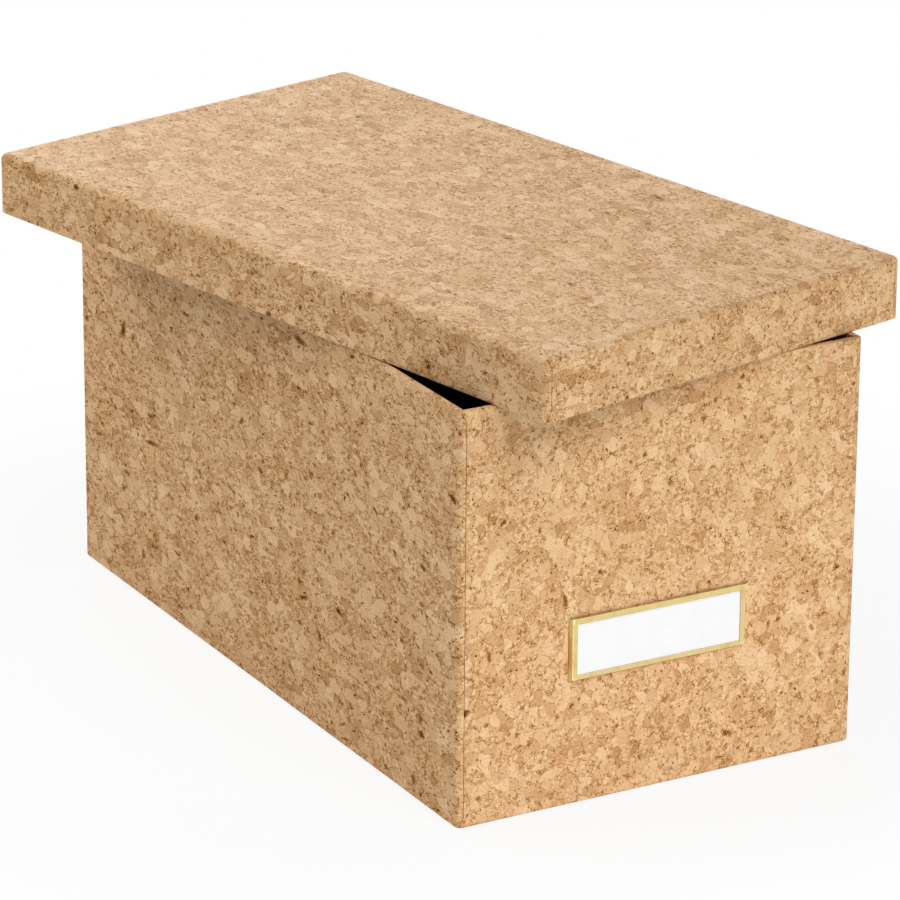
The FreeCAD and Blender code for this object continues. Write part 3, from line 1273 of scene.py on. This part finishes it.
@dataclass(frozen=True)
class Studio:
    """White sweep with soft light, and the camera of the photograph."""

    azimuth: float = -29.6345
    elevation: float = 20.5178
    roll: float = 0.4522
    aim_right: float = -0.5367 * MM
    aim_up: float = 70.8969 * MM
    distance: float = 1952.7295 * MM
    lens: float = 213.667
    sensor: float = 36.0
    nearest: float = 0.1
    ambient: float = 0.04
    floor_size: float = 14.0
    floor_drop: float = 0.1 * MM
    floor_white: float = 0.88
    shadow_reach: float = 0.34
    shadow_glow: float = 0.88
    lamps: tuple[Lamp, ...] = (
        Lamp("front_overhead", 5.0, 45.0, 2.4, 1.6, 1.2, 28.0),
        Lamp("front_softbox", 8.0, 12.0, 2.4, 1.6, 1.2, 9.0),
        Lamp("floor_bounce", 2.0, -10.8, 0.27, 0.4, 0.06, 0.09, mirrored=False),
        Lamp("left_softbox", -120.0, 42.0, 1.5, 1.2, 1.2, 11.5),
        Lamp("back_softbox", 172.0, 21.0, 2.4, 2.0, 1.6, 31.0),
    )

    def camera(self) -> bpy.types.Object:
        """Set up the camera where the photograph was taken from.

        Returns:
            The camera.
        """
        back, roll = direction(self.azimuth, self.elevation), math.radians(self.roll)
        level = Vector((0, 0, 1)).cross(back).normalized()
        upright = back.cross(level)
        right = level * math.cos(roll) + upright * math.sin(roll)
        up = upright * math.cos(roll) - level * math.sin(roll)
        data = bpy.data.cameras.new("camera")
        data.lens, data.sensor_width = self.lens, self.sensor
        data.clip_start, data.clip_end = self.nearest, 2 * self.floor_size
        camera = bpy.data.objects.new("camera", data)
        camera.matrix_world = Matrix.Translation(
            right * self.aim_right + up * self.aim_up + back * self.distance
        ) @ Matrix((right, up, back)).transposed().to_4x4()
        bpy.context.scene.collection.objects.link(camera)
        bpy.context.scene.camera = camera
        return camera

    @staticmethod
    def seen_directly(bench: NodeBench) -> Socket:
        """Give 1 for what the camera sees straight, in a mirror or through glass, and 0 for soft light."""
        path = bench.add("LightPath").outputs
        return bench.largest([path[f"Is {kind} Ray"] for kind in ("Camera", "Glossy", "Transmission")])

    def world(self) -> None:
        """Fill the surroundings: white where they are seen, and a soft level of light on the part."""
        world = bpy.data.worlds.new("surroundings")
        world.use_nodes = True
        bpy.context.scene.world = world
        bench = NodeBench(world.node_tree)
        level = bench.between(self.seen_directly(bench), self.ambient, 1.0)
        bench.feed(world.node_tree.nodes["Background"], {"Color": (1, 1, 1, 1), "Strength": level})

    def floor(self) -> bpy.types.Object:
        """Lay the white floor, which keeps the part's soft shadow and is clear from below.

        Returns:
            The floor.
        """
        mesh = bmesh.new()
        bmesh.ops.create_grid(mesh, x_segments=8, y_segments=8, size=self.floor_size / 2)
        bmesh.ops.translate(mesh, verts=mesh.verts, vec=(0, 0, -self.floor_drop))
        material, bench, shader = new_finish("white_floor")
        nodes = material.node_tree.nodes
        nodes.remove(shader)
        away = bench.length(bench.add("TexCoord").outputs["Object"])
        white = bench.remap(away, 0.5 * self.shadow_reach, self.shadow_reach, self.shadow_glow, 1.0)
        share = bench.math("MULTIPLY", white, self.seen_directly(bench))
        matt = bench.add("BsdfDiffuse", {"Color": (*[self.floor_white] * 3, 1)})
        glow = bench.add("Emission", {"Color": (1, 1, 1, 1), "Strength": 1.0})
        mixed = bench.add("MixShader", {0: share, 1: matt.outputs[0], 2: glow.outputs[0]})
        from_below = bench.add("NewGeometry").outputs["Backfacing"]
        clear = bench.add("BsdfTransparent").outputs[0]
        sided = bench.add("MixShader", {0: from_below, 1: mixed.outputs[0], 2: clear})
        bench.feed(nodes["Material Output"], {"Surface": sided.outputs[0]})
        floor = finish_piece("floor", mesh, material)
        return floor

    def build(self) -> None:
        """Set up camera, surroundings, floor and lamps."""
        low, high = cad_box
        self.camera()
        self.world()
        self.floor()
        for lamp in self.lamps:
            lamp.place((low + high) / 2)
        bpy.context.scene.view_settings.view_transform = "Standard"


@dataclass(frozen=True)
class Finishes:
    """Every finish of the part."""

    end_cork: bpy.types.Material
    side_cork: bpy.types.Material
    lid_cork: bpy.types.Material
    brass: bpy.types.Material
    by_slot: dict[str, bpy.types.Material]

    @classmethod
    def mixed(cls, metal_front: float, metal_foot: float) -> "Finishes":
        """Build every finish.

        Args:
            metal_front: Place along Y of the label holder's front.
            metal_foot: Place along Y of its foot on the cork.

        Returns:
            The finishes.
        """
        grain = CorkGrain().group()
        fibre = PaperFibre().group()
        papers = {
            "greyboard": PaperFinish(
                "greyboard", fibre, (176, 168, 156), (120, 112, 102), 2.5, 0.35, (0.85, 0.95), 0.05 * MM
            ),
            "stay_paper": PaperFinish(
                "gummed_kraft", fibre, (190, 152, 108), (150, 112, 72), 2.0, 0.3, (0.7, 0.85), 0.02 * MM
            ),
            "black_paper": PaperFinish(
                "black_lining", fibre, (24, 23, 22), (46, 44, 42), 1.6, 0.35, (0.72, 0.86), 0.02 * MM
            ),
            "card": PaperFinish(
                "white_card", fibre, (241, 242, 245), (234, 234, 236), 1.4, 0.2, (0.5, 0.62), 0.01 * MM, 0.01
            ),
        }
        end_cork = CorkFinish("end_cork", grain, (40.0, 0.0, 25.0), (1.0, 1.0, 1.1))
        side_cork = CorkFinish("side_cork", grain, (70.0, 410.0, 230.0), (1.0, 1.6, 1.0), contrast=1.12)
        lid_cork = CorkFinish(
            "lid_cork", grain, (310.0, 170.0, 90.0), (0.88, 1.25, 0.88), contrast=1.12, gloss=0.05,
            top_seal=0.5,
        )
        return cls(
            end_cork=end_cork.material(),
            side_cork=side_cork.material(),
            lid_cork=lid_cork.material(),
            brass=BrassFinish("brass", metal_front, metal_foot).material(),
            by_slot={slot: paper.material() for slot, paper in papers.items()},
        )


def put_on(piece: bpy.types.Object, body: str, node: str) -> None:
    """Let a piece stand for a solid and move with its body.

    Args:
        piece: Finished piece.
        body: Body that it moves with.
        node: Solid that it stands for.
    """
    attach(piece, body)
    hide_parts(node)
    log.info("%s stands for %s and rides on %s", piece.name, node, body)


def dress_solids(finishes: Finishes) -> None:
    """Give every solid that stays in view its own finish.

    Args:
        finishes: Every finish of the part.
    """
    for subpart in frame["record"]["subparts"]:
        node, slot = subpart["node"], subpart["material_slot"]
        if slot not in finishes.by_slot:
            continue
        materials = frame["nodes"][node].data.materials
        materials.clear()
        materials.append(finishes.by_slot[slot])
        log.info("%s dressed as %s", node, slot)


def main() -> None:
    """Build the studio, the cork, the label holder and the finishes."""
    logging.basicConfig(level=logging.INFO, format="%(message)s")
    Studio().build()
    relief = CorkRelief()
    left_low, left_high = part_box("base_left_cork")
    front_low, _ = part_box("base_front_cork")
    holder_low, holder_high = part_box("label_frame")
    holder = LabelHolder((holder_low.x + holder_high.x) / 2, front_low.y, holder_high.z)
    finishes = Finishes.mixed(front_low.y - holder.stand_off, front_low.y)
    tray = TrayCork(
        width=-2 * left_low.x,
        length=-2 * front_low.y,
        bottom=left_low.z,
        top=left_high.z,
    )
    for wall in Wall:
        sheet = tray.piece(wall, finishes.side_cork if wall.laps else finishes.end_cork, relief)
        put_on(sheet, "tray", f"base_{wall.name.lower()}_cork")
    lid_low, lid_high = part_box("lid_cork_cover")
    lid_middle = (lid_low + lid_high) / 2
    lid = LidCork(lid_middle.xy[:], lid_low.z, lid_high.z - lid_low.z)
    put_on(lid.piece(finishes.lid_cork, relief), "lid", "lid_cork_cover")
    put_on(holder.piece(finishes.brass), "tray", "label_frame")
    dress_solids(finishes)


if __name__ == "__main__":
    main()
